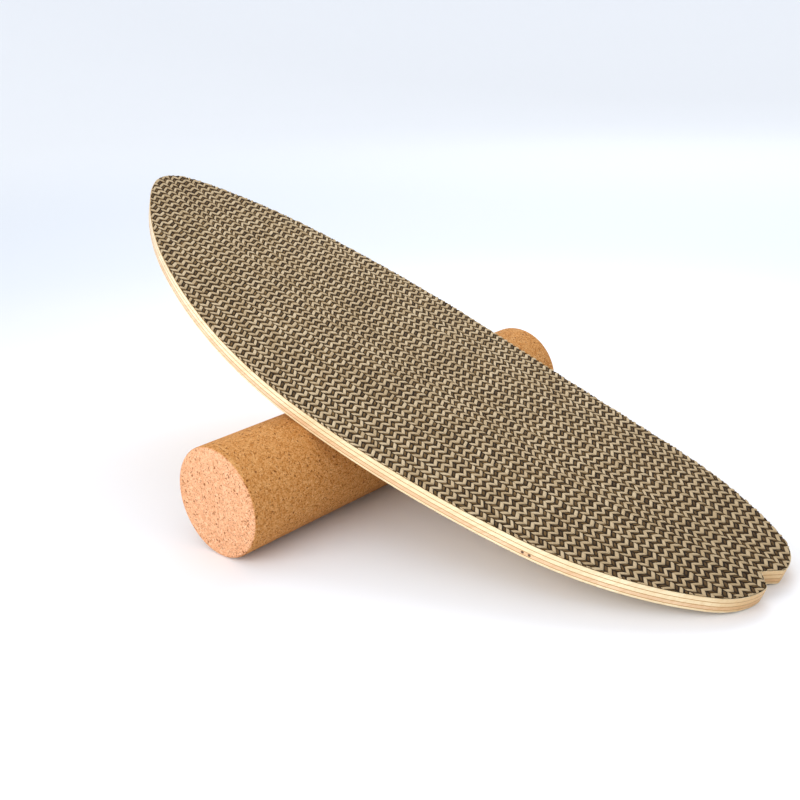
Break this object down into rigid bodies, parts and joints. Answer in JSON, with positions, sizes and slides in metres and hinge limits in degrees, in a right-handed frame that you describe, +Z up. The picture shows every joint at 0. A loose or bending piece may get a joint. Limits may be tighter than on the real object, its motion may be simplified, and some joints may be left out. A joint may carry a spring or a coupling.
{
  "type": "balance board",
  "caption": "Surf-shaped plywood balance board with a curved deck, notched tail, woven top mat and stops below, rocking on a solid cork roller.",
  "frame": {"origin": "on the floor, below the middle of the bounding box; it lies on the roller's middle plane, and the roller's axis is 26 mm towards the nose from it, 50 mm up", "axes": "+X along the deck towards the notched tail, which rests on the floor; +Y along the roller's axis; +Z up"},
  "size_m": [0.7346, 0.44, 0.2727],
  "materials": {
    "cork": "fine-grain agglomerated cork, matt, with small dark specks",
    "woven_mat": "coarse zigzag weave, beige strands over dark brown ones, matt",
    "light_veneer": "pale veneer, sanded and oiled, satin",
    "tan_veneer": "reddish tan veneer, sanded and oiled, satin",
    "dark_veneer": "thin cross veneer, end grain with its glue lines, satin",
    "stop_wood": "pale hardwood bar with rounded edges, oiled",
    "screw_steel": "zinc-plated"
  },
  "bodies": {
    "roller": {"cork_roller": "cork"},
    "deck": {"bottom_face_ply": "light_veneer", "lower_cross_ply": "dark_veneer", "lower_core_ply": "tan_veneer", "middle_cross_ply": "dark_veneer", "upper_core_ply": "light_veneer", "upper_cross_ply": "dark_veneer", "top_face_ply": "light_veneer", "woven_mat": "woven_mat", "nose_stop": "stop_wood", "tail_stop": "stop_wood", "nose_stop_screws": "screw_steel", "tail_stop_screws": "screw_steel"}
  },
  "joints": [
    {"name": "deck_rock", "type": "hinge", "parent": "roller", "child": "deck", "pos_m": [-0.02624, 0, 0.05], "axis": [0, -1, 0], "range_deg": [0, 38.49]}
  ]
}
